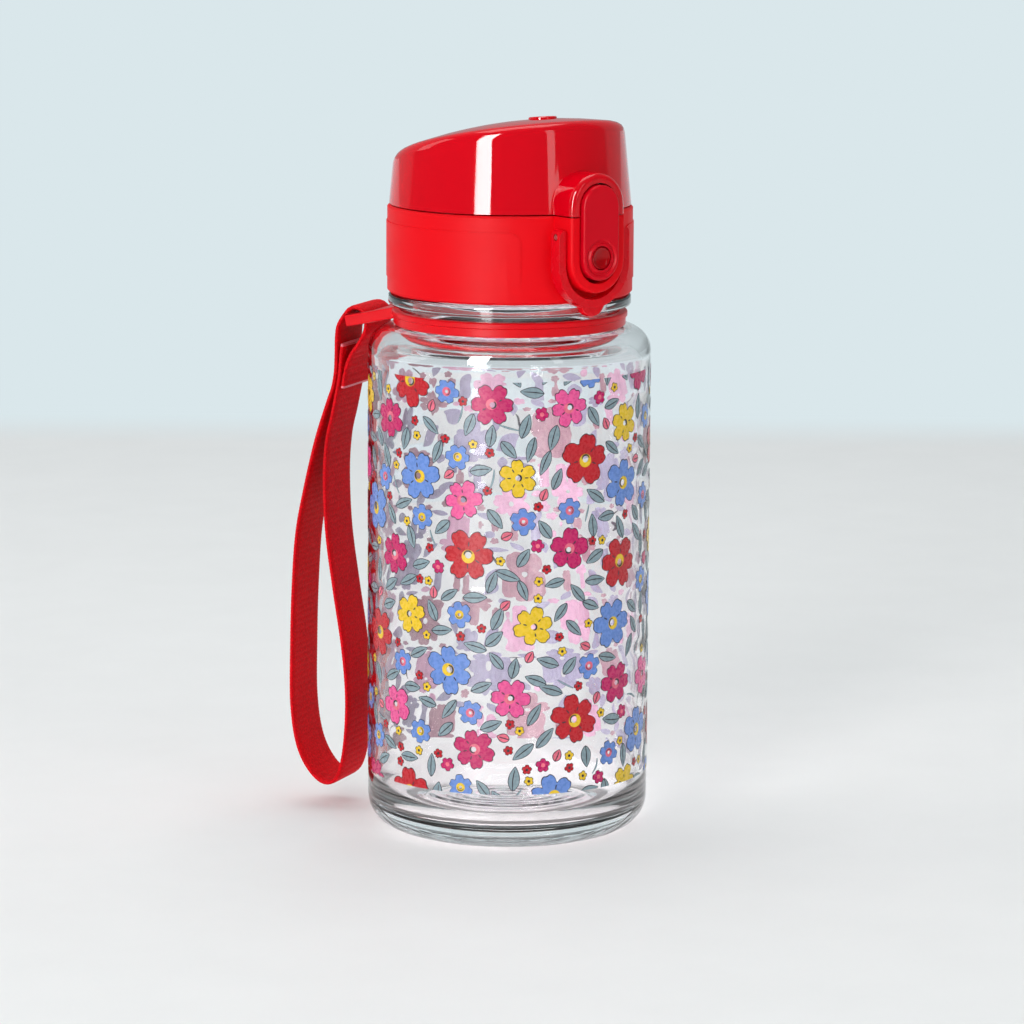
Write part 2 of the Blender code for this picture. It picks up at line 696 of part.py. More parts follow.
def lid_mesh(segments=60):
    bm = bmesh.new()
    rings = [
        [bm.verts.new(p) for p in lid_section(2 * math.pi * i / segments)] for i in range(segments)
    ]
    top = bm.verts.new((0, 0, lid_height(0, 0)))
    under = bm.verts.new((0, 0, lid_height(0, 0) - LID_WALL))
    for ring, after in zip(rings, rings[1:] + rings[:1]):
        for i in range(len(ring) - 1):
            bm.faces.new((ring[i], ring[i + 1], after[i + 1], after[i]))
        bm.faces.new((top, ring[0], after[0]))
        bm.faces.new((under, after[-1], ring[-1]))
    bmesh.ops.recalc_face_normals(bm, faces=bm.faces)
    return bm


def gate_mark():
    """The low round boss with a dimple on the lid's crest."""
    bm = turned([
        (0, -0.6), (GATE_R, -0.6), (GATE_R, GATE_RISE / 2), (GATE_R - 0.3, GATE_RISE),
        (GATE_R - 0.7, GATE_RISE), (GATE_R - 1.0, 0.1), (0, 0.1),
    ], 24)
    slope = -LID_SLOPE - 2 * LID_SAG_Y * GATE_Y
    place = Matrix.Translation((0, GATE_Y, lid_height(0, GATE_Y)))
    bmesh.ops.transform(bm, matrix=place @ Matrix.Rotation(math.atan(slope), 4, "X"), verts=bm.verts)
    return bm


def make_lid():
    gloss = finish("lid_gloss", (0.66, 0.0, 0.02), 0.08)
    lid = add("lid_shell", lid_mesh(), gloss)
    hood = prism(
        arch(HOUSING_HALF, HOOD_CENTRE, LID_BOTTOM), HOUSING_FRONT, HOOD_ROOT,
        rounding=HOOD_ROUND, keep_flat_z=LID_BOTTOM,
    )
    join(lid, hood, *knuckles(LID_KNUCKLE), gate_mark())
    pocket = prism(arch(POCKET_HALF, HOOD_CENTRE, LID_BOTTOM - 2), HOUSING_FRONT - 2, HOOD_POCKET_BACK)
    catch = box(
        (-CATCH_HALF, HOOD_POCKET_BACK - 0.1, CATCH_LOW),
        (CATCH_HALF, HOOD_POCKET_BACK + CATCH_DEPTH, CATCH_HIGH),
    )
    inner = LID_KNUCKLE[0]
    notch = box(
        (-inner, NOTCH_FRONT, LID_BOTTOM - 1),
        (inner, NOTCH_BACK, HINGE_Z + KNUCKLE_R + HINGE_GAP + NOTCH_HEADROOM),
    )
    bore = bore_of(HINGE_Y, HINGE_Z, HINGE_PIN_R + HINGE_BORE_GAP)
    cut(lid, pocket, catch, notch, bore)


def make_liner():
    """The plate under the lid that presses the seal on the spout."""
    red = finish("liner_polypropylene", (0.8, 0.02, 0.04), 0.35)
    low = SPOUT_TOP + 2 * SEAT_GAP + SEAL_THICK
    outline = [
        (0, low), (LINER_R, low), (LINER_R, low + LINER_THICK),
        (LINER_BOSS_R + 0.4, low + LINER_BOSS_FOOT), (LINER_BOSS_R, low + LINER_RISE),
        (0, low + LINER_RISE),
    ]
    add("lid_liner", turned(outline, 24, SPOUT_Y), red)


def make_hinge():
    steel = finish("hinge_steel", (0.6, 0.6, 0.6), 0.25, metallic=1)
    end = LID_KNUCKLE[1]
    add("lid_hinge_pin", rod(HINGE_Y, HINGE_Z, HINGE_PIN_R, -end, end, 16), steel)
    length = 2 * SPRING_HALF - 0.8
    add("lid_spring", coil((0, HINGE_Y, HINGE_Z), SPRING_R, SPRING_WIRE, length, 5), steel)


# ---------------------------------------------------------------- button and lock


def ring_groove(inner, outer, depth):
    """A round groove in the button's face, centred on its dot."""
    bm = turned([
        (inner, -0.5), (inner, 0.0), (inner + depth, depth), (outer - depth, depth),
        (outer, 0.0), (outer, -0.5),
    ], 28)
    return face_forward(bm)


def face_forward(bm):
    """Turns a piece drawn about Z, with depth up, to look out of the button's face."""
    place = Matrix.Translation((0, BUTTON_FRONT, DOT_Z)) @ Matrix.Rotation(-math.pi / 2, 4, "X")
    bmesh.ops.transform(bm, matrix=place, verts=bm.verts)
    bmesh.ops.recalc_face_normals(bm, faces=bm.faces)
    return bm


def make_button():
    satin = finish("button_polypropylene", (0.72, 0.0, 0.04), 0.45)
    plate = prism(
        oblong(BUTTON_HALF, BUTTON_LOW, BUTTON_HIGH), BUTTON_FRONT, BUTTON_BACK, rounding=0.5,
    )
    button = add("release_button", plate, satin)
    lug = rod(PIVOT_Y, PIVOT_Z, LUG_R, -LUG_HALF, LUG_HALF, 20)
    nose = box(
        (-NOSE_HALF, BUTTON_BACK - 0.5, NOSE_LOW), (NOSE_HALF, HOOD_POCKET_BACK - NOSE_GAP, NOSE_HIGH),
    )
    join(button, lug, nose)
    wide, deep = DOT_R + SOCKET_GAP, SOCKET_DEPTH
    socket = face_forward(turned([(0, -1), (wide, -1), (wide, deep), (0, deep)], 28))
    bore = rod(PIVOT_Y, PIVOT_Z, PIN_R + PIVOT_GAP, -9, 9, 16)
    cut(button, ring_groove(GROOVE_IN, GROOVE_OUT, GROOVE_DEPTH), socket, bore)


def make_dot():
    gloss = finish("dot_gloss", (0.4, 0.0, 0.01), 0.06)
    dish = [(DOT_R * k / 5, DOT_DISH - 0.5 * (k / 5) ** 2) for k in range(5)]
    outline = dish + [(DOT_R - 0.2, 0.0), (DOT_R, 0.2), (DOT_R, 1.3), (0, 1.3)]
    add("button_dot", face_forward(turned(outline, 28)), gloss)


def make_button_spring():
    """A short coil behind the button's foot, which pushes it out again."""
    steel = finish("spring_steel", (0.6, 0.6, 0.6), 0.25, metallic=1)
    length = SLEEVE_POCKET_BACK - BUTTON_BACK - COIL_ROOM
    bm = coil((0, 0, 0), COIL_R, COIL_WIRE, length, COIL_TURNS)
    place = Matrix.Translation((0, (SLEEVE_POCKET_BACK + BUTTON_BACK) / 2, COIL_Z))
    bmesh.ops.transform(bm, matrix=place @ Matrix.Rotation(math.pi / 2, 4, "Z"), verts=bm.verts)
    add("button_spring", bm, steel)


def bail_outline():
    """The U-shaped band, its two upper ends rounded."""
    soft = BAIL_END_ROUND
    top = BAIL_TOP - soft
    inner_soft = BAIL_OUT - BAIL_IN - soft - 0.02
    left = arc(-BAIL_OUT + soft, top, soft, 90, 180, 4)
    right = arc(BAIL_OUT - soft, top, soft, 0, 90, 4)
    return (
        left + arc(0, BAIL_CENTRE, BAIL_OUT, 180, 360, 20) + right
        + [(BAIL_IN + inner_soft, BAIL_TOP - 0.05), (BAIL_IN, BAIL_TOP - inner_soft)]
        + arc(0, BAIL_CENTRE, BAIL_IN, 360, 180, 20)
        + [(-BAIL_IN, BAIL_TOP - inner_soft), (-BAIL_IN - inner_soft, BAIL_TOP - 0.05)]
    )


def make_bail():
    """The swinging lock over the button's foot, with its finger tongue."""
    satin = finish("bail_polypropylene", (0.75, 0.0, 0.03), 0.45)
    band = prism(bail_outline(), BAIL_FRONT, BAIL_BACK, rounding=BAIL_ROUND)
    bail = add("lock_bail", band, satin)
    inside = BAIL_CENTRE - BAIL_IN - 0.9
    tip = arc(0, TONGUE_Z, TONGUE_R, 200, 340, 8)
    tongue = prism(
        [(-TONGUE_HALF, inside), *tip, (TONGUE_HALF, inside), (0, inside + 0.1)],
        BAIL_FRONT + TONGUE_RECESS, BAIL_BACK - TONGUE_CLEAR, rounding=0.4,
    )
    join(bail, tongue)
    cut(bail, bore_of(PIVOT_Y, PIVOT_Z, PIN_R + 0.2))


def make_pivot_pin():
    steel = finish("pivot_steel", (0.65, 0.65, 0.65), 0.2, metallic=1)
    add("pivot_pin", rod(PIVOT_Y, PIVOT_Z, PIN_R, -PIN_HALF, PIN_HALF, 16), steel)


def set_origin(name, place):
    """Moves an object's origin onto its joint, given in millimetres."""
    obj = bpy.data.objects[name]
    offset = Vector(place) * MM
    obj.data.transform(Matrix.Translation(-offset))
    obj.location = offset


def place_origins():
    """Each piece that moves turns about its own origin."""
    out, z = bar_centre()
    bar = (out * math.cos(EAR_ANGLE), out * math.sin(EAR_ANGLE), z)
    hinge = (0, HINGE_Y, HINGE_Z)
    pivot = (0, PIVOT_Y, PIVOT_Z)
    joints = {
        "wrist_strap": bar, "lid_shell": hinge, "lid_liner": hinge, "spout_seal": hinge,
        "release_button": pivot, "button_dot": pivot, "lock_bail": pivot,
    }
    for name, place in joints.items():
        set_origin(name, place)


def main():
    clear_scene()
    make_bottle()
    make_strap_ring()
    make_strap()
    make_sleeve()
    make_deck()
    make_spout()
    make_seals()
    make_lid()
    make_liner()
    make_hinge()
    make_button()
    make_dot()
    make_button_spring()
    make_bail()
    make_pivot_pin()
    place_origins()


main()
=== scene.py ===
"""The looks of the kids' water bottle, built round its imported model, which is in metres.

Shapes are drawn in millimetres and scaled by MM. The bottle stands on z = 0 about the Z axis,
with its button towards -Y.
"""

import json
import math
import random

import bmesh
import bpy
from mathutils import Matrix, Vector


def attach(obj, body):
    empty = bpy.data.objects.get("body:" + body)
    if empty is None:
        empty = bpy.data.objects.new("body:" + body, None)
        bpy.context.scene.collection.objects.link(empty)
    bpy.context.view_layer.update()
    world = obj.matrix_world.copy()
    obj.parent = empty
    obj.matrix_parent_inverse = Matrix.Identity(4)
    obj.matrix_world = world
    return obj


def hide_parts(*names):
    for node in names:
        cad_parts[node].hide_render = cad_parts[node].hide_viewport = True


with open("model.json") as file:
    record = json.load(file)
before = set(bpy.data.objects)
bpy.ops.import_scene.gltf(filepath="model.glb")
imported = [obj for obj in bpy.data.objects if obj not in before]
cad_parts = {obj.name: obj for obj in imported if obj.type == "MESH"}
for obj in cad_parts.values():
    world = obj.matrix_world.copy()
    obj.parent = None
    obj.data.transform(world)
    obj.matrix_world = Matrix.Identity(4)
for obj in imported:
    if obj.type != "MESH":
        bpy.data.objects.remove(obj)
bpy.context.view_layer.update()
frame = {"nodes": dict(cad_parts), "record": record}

MM = 0.001

# The bottle's own sizes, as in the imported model
BODY_R = 33.0
BODY_WALL = 2.2
BASE_ROUND = 7.0
BASE_RECESS = 0.8
RECESS_R = 21.5
FLOOR_Z = 5.0
FLOOR_CROWN = 1.6
FLOOR_R = 22.8
SHOULDER_Z = 118.5
SHOULDER_ROUND = 5.3
NECK_R = 25.5
THREAD_ROOT_R = 24.6
NECK_BORE_R = 22.8
BEAD_R = 28.3
BEAD_BOTTOM, BEAD_TOP = 123.7, 126.3
RIM_Z = 141.0
PITCH = 4.5
THREAD_START_Z = 131.2
THREAD_TURNS = 1.3
THREAD_CREST_R = 25.9

# The strap and the ear that it hangs on
RING_R = 27.5
RING_BOTTOM, RING_TOP = 119.0, 122.4
EAR_ANGLE = math.radians(122)
EAR_SLOPE = math.radians(12.5)
EAR_TIP = 38.2
SLOT_OUT = 34.9
STRAP_WIDTH = 14.6
STRAP_THICK = 1.0
STRAP_LOOP_R = 2.75

# The printed band
PRINT_LOW, PRINT_HIGH = 13.9, 109.7
INK = 0.03

# How much lamp light the clear plastic lets through to what is behind it
GLASS_SHADOW = (0.985, 0.975, 0.985)


# ---------------------------------------------------------------- node materials


class Recipe:
    """A node material whose colour and roughness vary a little over the surface."""

    def __init__(self, name):
        self.material = bpy.data.materials.new(name)
        self.material.use_nodes = True
        self.tree = self.material.node_tree
        self.shader = self.tree.nodes["Principled BSDF"]

    def node(self, kind, **settings):
        made = self.tree.nodes.new(kind)
        for key, value in settings.items():
            if key in made.inputs:
                made.inputs[key].default_value = value
            else:
                setattr(made, key, value)
        return made

    def link(self, source, target):
        self.tree.links.new(source, target)

    def set(self, **values):
        for key, value in values.items():
            self.shader.inputs[key.replace("_", " ")].default_value = value
        return self

    def place(self, scale=1.0):
        """Object coordinates in millimetres, times scale."""
        coordinates = self.node("ShaderNodeTexCoord")
        mapping = self.node("ShaderNodeMapping")
        factor = scale / MM
        mapping.inputs["Scale"].default_value = (factor, factor, factor)
        self.link(coordinates.outputs["Object"], mapping.inputs["Vector"])
        return mapping.outputs["Vector"]

    def noise(self, size_mm, detail=3.0, rough=0.5):
        made = self.node("ShaderNodeTexNoise")
        made.inputs["Scale"].default_value = 1.0
        made.inputs["Detail"].default_value = detail
        made.inputs["Roughness"].default_value = rough
        self.link(self.place(1 / size_mm), made.inputs["Vector"])
        return made.outputs["Fac"]

    def ramp(self, factor, *stops):
        made = self.node("ShaderNodeValToRGB")
        elements = made.color_ramp.elements
        while len(elements) < len(stops):
            elements.new(0.5)
        for element, (position, color) in zip(elements, stops):
            element.position = position
            element.color = (*color, 1) if len(color) == 3 else color
        self.link(factor, made.inputs["Fac"])
        return made.outputs["Color"]

    def colour(self, factor, dark, light, low=0.35, high=0.65):
        self.link(self.ramp(factor, (low, dark), (high, light)), self.shader.inputs["Base Color"])
        return self

    def roughness(self, factor, low, high):
        spread = self.node("ShaderNodeMapRange")
        spread.inputs["From Min"].default_value = 0.3
        spread.inputs["From Max"].default_value = 0.7
        spread.inputs["To Min"].default_value = low
        spread.inputs["To Max"].default_value = high
        self.link(factor, spread.inputs["Value"])
        self.link(spread.outputs["Result"], self.shader.inputs["Roughness"])
        return self

    def bump(self, factor, height_mm, strength=1.0, after=None):
        made = self.node("ShaderNodeBump")
        made.inputs["Distance"].default_value = height_mm * MM
        made.inputs["Strength"].default_value = strength
        self.link(factor, made.inputs["Height"])
        if after:
            self.link(after.outputs["Normal"], made.inputs["Normal"])
        self.link(made.outputs["Normal"], self.shader.inputs["Normal"])
        return made


def srgb(red, green, blue):
    """A colour from its 0 to 255 screen values."""
    def linear(value):
        value /= 255
        return value / 12.92 if value <= 0.04045 else ((value + 0.055) / 1.055) ** 2.4
    return (linear(red), linear(green), linear(blue))


def shaded(color, by):
    return tuple(max(0.0, min(1.0, c * by)) for c in color)


def moulded(name, color, low, high, grain_mm, grain_height, coat=0.0, shine=0.25):
    """Moulded plastic with a fine grain and faint flow marks."""
    made = Recipe(name)
    made.colour(made.noise(12.0), shaded(color, 0.985), shaded(color, 1.01))
    made.roughness(made.noise(5.0, 2.0), low, high)
    made.bump(made.noise(grain_mm, 2.0), grain_height, 0.5)
    made.set(Coat_Weight=coat, Coat_Roughness=0.03, Specular_IOR_Level=shine)
    return made


# ---------------------------------------------------------------- mesh tools


def object_from(name, bm, material, smooth=40.0):
    """A piece from a mesh drawn in millimetres."""
    bmesh.ops.recalc_face_normals(bm, faces=bm.faces)
    bmesh.ops.scale(bm, vec=(MM, MM, MM), verts=bm.verts)
    mesh = bpy.data.meshes.new(name)
    bm.to_mesh(mesh)
    bm.free()
    return object_of(name, mesh, material, smooth)


def object_of(name, mesh, material, smooth=40.0):
    mesh.shade_smooth()
    mesh.set_sharp_from_angle(angle=math.radians(smooth))
    for each in (material if isinstance(material, list) else [material]):
        mesh.materials.append(each)
    obj = bpy.data.objects.new(name, mesh)
    bpy.context.scene.collection.objects.link(obj)
    return obj


def arc(x, z, radius, start, end, steps):
    angles = [math.radians(start + (end - start) * i / steps) for i in range(steps + 1)]
    return [(x + radius * math.cos(a), z + radius * math.sin(a)) for a in angles]


def lathe(outline, segments):
    """A closed solid turned about Z from an outline that starts and ends on the axis."""
    bm = bmesh.new()
    first = bm.verts.new((0, 0, outline[0][1]))
    last = bm.verts.new((0, 0, outline[-1][1]))
    rings = []
    for r, z in outline[1:-1]:
        ring = []
        for i in range(segments):
            a = 2 * math.pi * i / segments
            ring.append(bm.verts.new((r * math.cos(a), r * math.sin(a), z)))
        rings.append(ring)
    for i in range(segments):
        j = (i + 1) % segments
        bm.faces.new((first, rings[0][i], rings[0][j]))
        bm.faces.new((last, rings[-1][j], rings[-1][i]))
        for below, above in zip(rings, rings[1:]):
            bm.faces.new((below[i], below[j], above[j], above[i]))
    return bm


# ---------------------------------------------------------------- the clear bottle


def ripple(r):
    """The slow waves that moulding leaves in the thick floor."""
    return 0.10 * math.sin(r * 1.9) + 0.07 * math.sin(r * 0.83 + 1.0)


def wall_wave(z):
    """How the inside wall runs in and out a little, as a blown wall does."""
    return 0.075 * math.sin(z * 0.56) + 0.03 * math.sin(z * 0.97 + 0.7)


def bottle_outline():
    standing = BODY_R - BASE_ROUND
    inner = BODY_R - BODY_WALL
    edge = RECESS_R - 2.0
    recess = [(edge * k / 16, BASE_RECESS) for k in range(17)]
    outside = (
        recess + [(RECESS_R - 1.4, 0.72), (RECESS_R - 0.8, 0.45), (RECESS_R - 0.3, 0.12), (RECESS_R, 0)]
        + [(22.6, 0), (24.0, 0)]
        + arc(standing, BASE_ROUND, BASE_ROUND, -90, 0, 20)
        + [(BODY_R, 10.0 + 8.0 * k) for k in range(13)]
        + arc(BODY_R - SHOULDER_ROUND, SHOULDER_Z - SHOULDER_ROUND, SHOULDER_ROUND, 0, 90, 16)
        + arc(NECK_R + 0.6, SHOULDER_Z + 0.6, 0.6, -90, -180, 4)
        + [(NECK_R, 121.0), (NECK_R, BEAD_BOTTOM - 0.4)]
        + arc(BEAD_R - 0.7, BEAD_BOTTOM + 0.7, 0.7, -88, 0, 6)
        + arc(BEAD_R - 0.7, BEAD_TOP - 0.7, 0.7, 0, 88, 6)
        + [(THREAD_ROOT_R + 0.3, BEAD_TOP), (THREAD_ROOT_R, BEAD_TOP + 0.3)]
        + [(THREAD_ROOT_R, 130.0), (THREAD_ROOT_R, 136.0)]
        + arc(THREAD_ROOT_R - 0.5, RIM_Z - 0.5, 0.5, 0, 90, 4)
    )
    inside = (
        arc(NECK_BORE_R + 0.5, RIM_Z - 0.5, 0.5, 90, 180, 4)
        + [(NECK_BORE_R, 134.0), (NECK_BORE_R, 127.0)]
        + arc(NECK_BORE_R + 2.0, SHOULDER_Z, 2.0, 180, 262, 8)
        + arc(inner - 4.2, SHOULDER_Z - 6.6, 4.2, 80, 0, 12)
        + [(inner + wall_wave(110.0 - 0.5 * k), 110.0 - 0.5 * k) for k in range(1, 190)]
        + arc(FLOOR_R, FLOOR_Z + inner - FLOOR_R, inner - FLOOR_R, 0, -90, 18)
    )
    steps = 44
    floor = []
    for k in range(steps - 1, -1, -1):
        r = FLOOR_R * k / steps
        z = FLOOR_Z + FLOOR_CROWN * (1 - (k / steps) ** 2)
        fade = min(1.0, (steps - k) / 6)
        floor.append((r, z + ripple(r) * fade))
    return outside + inside + floor


def neck_thread():
    """The screw thread as its own closed ridge, sunk into the neck."""
    bm = bmesh.new()
    steps = 60
    count = round(steps * THREAD_TURNS)
    rings = []
    root = THREAD_ROOT_R - 0.4
    for i in range(count + 1):
        turn = i / steps
        height = max(0.12, min(1, i / 8, (count - i) / 8))
        top = root + (THREAD_CREST_R - root) * height
        angle = 2 * math.pi * turn
        z = THREAD_START_Z + PITCH * turn
        section = ((root, z - 1.15), (top, z - 0.5), (top, z + 0.5), (root, z + 1.15))
        rings.append([
            bm.verts.new((r * math.cos(angle), r * math.sin(angle), h)) for r, h in section
        ])
    for ring, after in zip(rings, rings[1:]):
        for i in range(4):
            j = (i + 1) % 4
            bm.faces.new((ring[i], ring[j], after[j], after[i]))
    bm.faces.new(rings[0])
    bm.faces.new(rings[-1][::-1])
    return bm


def clear_material():
    """Clear plastic that lets the light through to what stands behind and inside it."""
    made = Recipe("clear_copolyester")
    first = made.bump(made.noise(22.0, 1.0), 0.12, 0.55)
    made.bump(made.noise(3.5, 1.0), 0.006, 0.5, after=first)
    made.roughness(made.noise(6.0), 0.0, 0.03)
    made.colour(made.noise(30.0), (0.992, 0.982, 0.99), (1.0, 0.992, 1.0))
    made.set(Transmission_Weight=1.0, IOR=1.54)
    path = made.node("ShaderNodeLightPath")
    through = made.node("ShaderNodeBsdfTransparent")
    through.inputs["Color"].default_value = (*GLASS_SHADOW, 1)
    mix = made.node("ShaderNodeMixShader")
    made.link(path.outputs["Is Shadow Ray"], mix.inputs[0])
    made.link(made.shader.outputs["BSDF"], mix.inputs[1])
    made.link(through.outputs["BSDF"], mix.inputs[2])
    made.link(mix.outputs["Shader"], made.tree.nodes["Material Output"].inputs["Surface"])
    return made.material


def make_bottle():
    clear = clear_material()
    body = object_from("clear_bottle", lathe(bottle_outline(), 144), clear, 30)
    ridge = object_from("clear_thread", neck_thread(), clear, 30)
    joint = body.modifiers.new("thread", "BOOLEAN")
    joint.operation = "UNION"
    joint.solver = "EXACT"
    joint.object = ridge
    graph = bpy.context.evaluated_depsgraph_get()
    whole = bpy.data.meshes.new_from_object(body.evaluated_get(graph))
    body.modifiers.clear()
    body.data = whole
    bpy.data.objects.remove(ridge, do_unlink=True)
    whole.shade_smooth()
    whole.set_sharp_from_angle(angle=math.radians(32))
    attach(body, "bottle")
    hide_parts("bottle_body")


# ---------------------------------------------------------------- the printed flowers


class Print:
    """Flat ink shapes, kept as (across, up) points in millimetres until they are wrapped."""

    def __init__(self):
        self.points = []
        self.faces = []
        self.inks = []

    def grid(self, rings, ink, layer, closed=True):
        """Fills between rings of points that have the same count."""
        start = len(self.points)
        count = len(rings[0])
        for ring in rings:
            self.points.extend((x, z, layer) for x, z in ring)
        for k in range(len(rings) - 1):
            for i in range(count if closed else count - 1):
                j = (i + 1) % count
                low, high = start + k * count, start + (k + 1) * count
                self.faces.append((low + i, low + j, high + j, high + i))
                self.inks.append(ink)

    def shape(self, place, turn, outline, ink, layer, hole=0.0, steps=3):
        """A shape whose outline can be seen whole from its middle, with an optional round hole."""
        x, z = place
        c, s = math.cos(turn), math.sin(turn)
        rings = []
        for k in range(steps + 1):
            t = k / steps
            ring = []
            for u, v in outline:
                length = math.hypot(u, v)
                r = (hole + (length - hole) * t) / length if length else 0
                r = max(r, 0.02)
                ring.append((x + r * (u * c - v * s), z + r * (u * s + v * c)))
            rings.append(ring)
        self.grid(rings, ink, layer)

    def stroke(self, place, turn, line, width, ink, layer):
        """A tapered pen stroke along a few points."""
        x, z = place
        c, s = math.cos(turn), math.sin(turn)
        left, right = [], []
        for i, (u, v) in enumerate(line):
            before, after = line[max(i - 1, 0)], line[min(i + 1, len(line) - 1)]
            du, dv = after[0] - before[0], after[1] - before[1]
            length = math.hypot(du, dv) or 1
            half = width / 2 * (0.35 + 0.65 * math.sin(math.pi * (i + 0.5) / len(line)))
            nu, nv = -dv / length * half, du / length * half
            for side, sign in ((left, 1), (right, -1)):
                pu, pv = u + sign * nu, v + sign * nv
                side.append((x + pu * c - pv * s, z + pu * s + pv * c))
        self.grid([left, right], ink, layer, closed=False)


INKS = [
    "red", "blue", "pink", "magenta", "yellow", "leaf", "outline", "bud", "back_warm", "back_cool",
    "back_rose",
]
BACK, EDGE, FILL, DETAIL, TOP = 0, 1, 2, 3, 4
BACKS = {"red": "back_warm", "magenta": "back_rose", "pink": "back_rose", "bud": "back_rose",
         "yellow": "back_warm", "blue": "back_cool", "leaf": "back_cool"}


def petals(radius, count, draw, notch=0.3, points=14):
    """A loose flower's outline, each petal a little different and dented at its tip."""
    outline = []
    for petal in range(count):
        size = radius * draw.uniform(0.92, 1.05)
        lean = draw.uniform(-0.05, 0.05)
        dent = notch * draw.uniform(0.35, 1.0)
        for k in range(points):
            t = (k + 0.5) / points
            angle = 2 * math.pi * (petal + t + lean * math.sin(math.pi * t)) / count
            lobe = math.sin(math.pi * t) ** 0.5
            tip = math.exp(-((t - 0.5) / 0.09) ** 2)
            r = size * (0.46 + 0.54 * lobe - dent * 0.42 * tip)
            outline.append((r * math.cos(angle), r * math.sin(angle)))
    return outline


def grown(outline, by):
    made = []
    for u, v in outline:
        length = math.hypot(u, v)
        made.append((u * (length + by) / length, v * (length + by) / length))
    return made


def ring_outline(radius, count):
    return [
        (radius * math.cos(2 * math.pi * i / count), radius * math.sin(2 * math.pi * i / count))
        for i in range(count)
    ]


def draw_flower(print_, place, radius, ink, eye_ink, count, draw):
    turn = draw.uniform(0, 2 * math.pi)
    big = radius > 4
    outline = petals(radius, count, draw, points=14 if big else 8)
    hole = radius * 0.125 if radius > 2.5 else 0.0
    line = 0.24 if big else 0.16
    steps = 5 if big else 2
    around = len(outline)
    print_.shape(place, turn, grown(outline, line), BACKS[ink], BACK, hole, steps)
    print_.shape(place, turn, grown(outline, line), "outline", EDGE, hole, steps)
    print_.shape(place, turn, outline, ink, FILL, hole, steps)
    if not big:
        eye = radius * (0.34 if radius > 2.5 else 0.3)
        print_.shape(place, turn, ring_outline(eye, around), eye_ink, DETAIL, hole, 1)
        if radius > 2.5:
            pen_arc(print_, place, turn, eye * 0.75, 0.22, TOP)
        return
    for petal in range(count):
        if draw.random() < 0.55:
            angle = 2 * math.pi * (petal + draw.uniform(-0.02, 0.02)) / count
            cleft = [
                (radius * r * math.cos(angle), radius * r * math.sin(angle))
                for r in (0.52, 0.46, 0.4, 0.34)
            ]
            print_.stroke(place, turn, cleft, 0.3, "outline", DETAIL)
    if eye_ink:
        eye = [(u + 0.05 * radius, v) for u, v in ring_outline(radius * 0.26, around)]
        print_.shape(place, turn, eye, eye_ink, DETAIL, hole, 1)
    pen_arc(print_, place, turn, radius * 0.165, 0.42, TOP)


def pen_arc(print_, place, turn, radius, width, layer):
    """The short dark arc drawn round one side of a flower's eye."""
    arch = [(radius * math.cos(a), radius * math.sin(a)) for a in (1.9 + 2.9 * k / 9 for k in range(10))]
    print_.stroke(place, turn, arch, width, "outline", layer)


def leaf_outline(length, width, count=20):
    outline = []
    for i in range(count):
        a = 2 * math.pi * i / count
        x = math.cos(a)
        y = math.sin(a) * (1 - 0.25 * x) * (1 - 0.55 * max(0, abs(x) - 0.4))
        outline.append((x * length / 2, y * width / 2))
    return outline


def draw_leaf(print_, place, length, width, turn, ink, draw):
    outline = leaf_outline(length, width)
    print_.shape(place, turn, grown(outline, 0.19), BACKS[ink], BACK, 0, 2)
    print_.shape(place, turn, grown(outline, 0.19), "outline", EDGE, 0, 2)
    print_.shape(place, turn, outline, ink, FILL, 0, 2)
    bend = draw.uniform(-0.12, 0.12) * width
    rib = [(length * (t - 0.55), bend * math.sin(math.pi * t)) for t in (0.0, 0.2, 0.4, 0.6, 0.8, 0.93)]
    print_.stroke(place, turn, rib, 0.26, "outline", DETAIL)


def draw_stem(print_, place, turn, draw):
    length, bend = draw.uniform(3.6, 4.8), draw.uniform(-0.5, 0.5)
    steps = (0, 0.17, 0.33, 0.5, 0.67, 0.83, 1)
    line = [(length * (t - 0.5), bend * math.sin(math.pi * t)) for t in steps]
    print_.stroke(place, turn, line, 0.42, "leaf", DETAIL)
    print_.stroke(place, turn, line, 0.5, "outline", FILL)


AROUND = 2 * math.pi * BODY_R


def apart(one, other):
    """The distance between two printed places, across the seam too."""
    dx = abs(one[0] - other[0])
    return math.hypot(min(dx, AROUND - dx), one[1] - other[1])


def big_flowers(draw):
    """Sites for the large flowers, well spread, with no neighbours alike."""
    sites = []
    for _ in range(86):
        best = None
        for _ in range(90):
            spot = (draw.uniform(0, AROUND), draw.uniform(PRINT_LOW - 2, PRINT_HIGH + 2))
            room = min((apart(spot, other) for other in sites), default=99)
            if best is None or room > best[0]:
                best = (room, spot)
        if best[0] > 11.6:
            sites.append(best[1])
    radii = {"red": 6.0, "blue": 5.8, "magenta": 4.9, "pink": 4.7, "yellow": 4.6}
    shares = {"red": 0.27, "blue": 0.22, "magenta": 0.22, "pink": 0.12, "yellow": 0.17}
    placed = []
    for spot in sites:
        def worth(kind):
            near = min((apart(spot, (x, z)) for k, x, z, _ in placed if k == kind), default=60)
            used = sum(1 for k, *_ in placed if k == kind) / (len(placed) + 1)
            return min(near, 34) + 60 * (shares[kind] - used)
        kind = max(radii, key=worth)
        placed.append((kind, *spot, radii[kind]))
    return placed


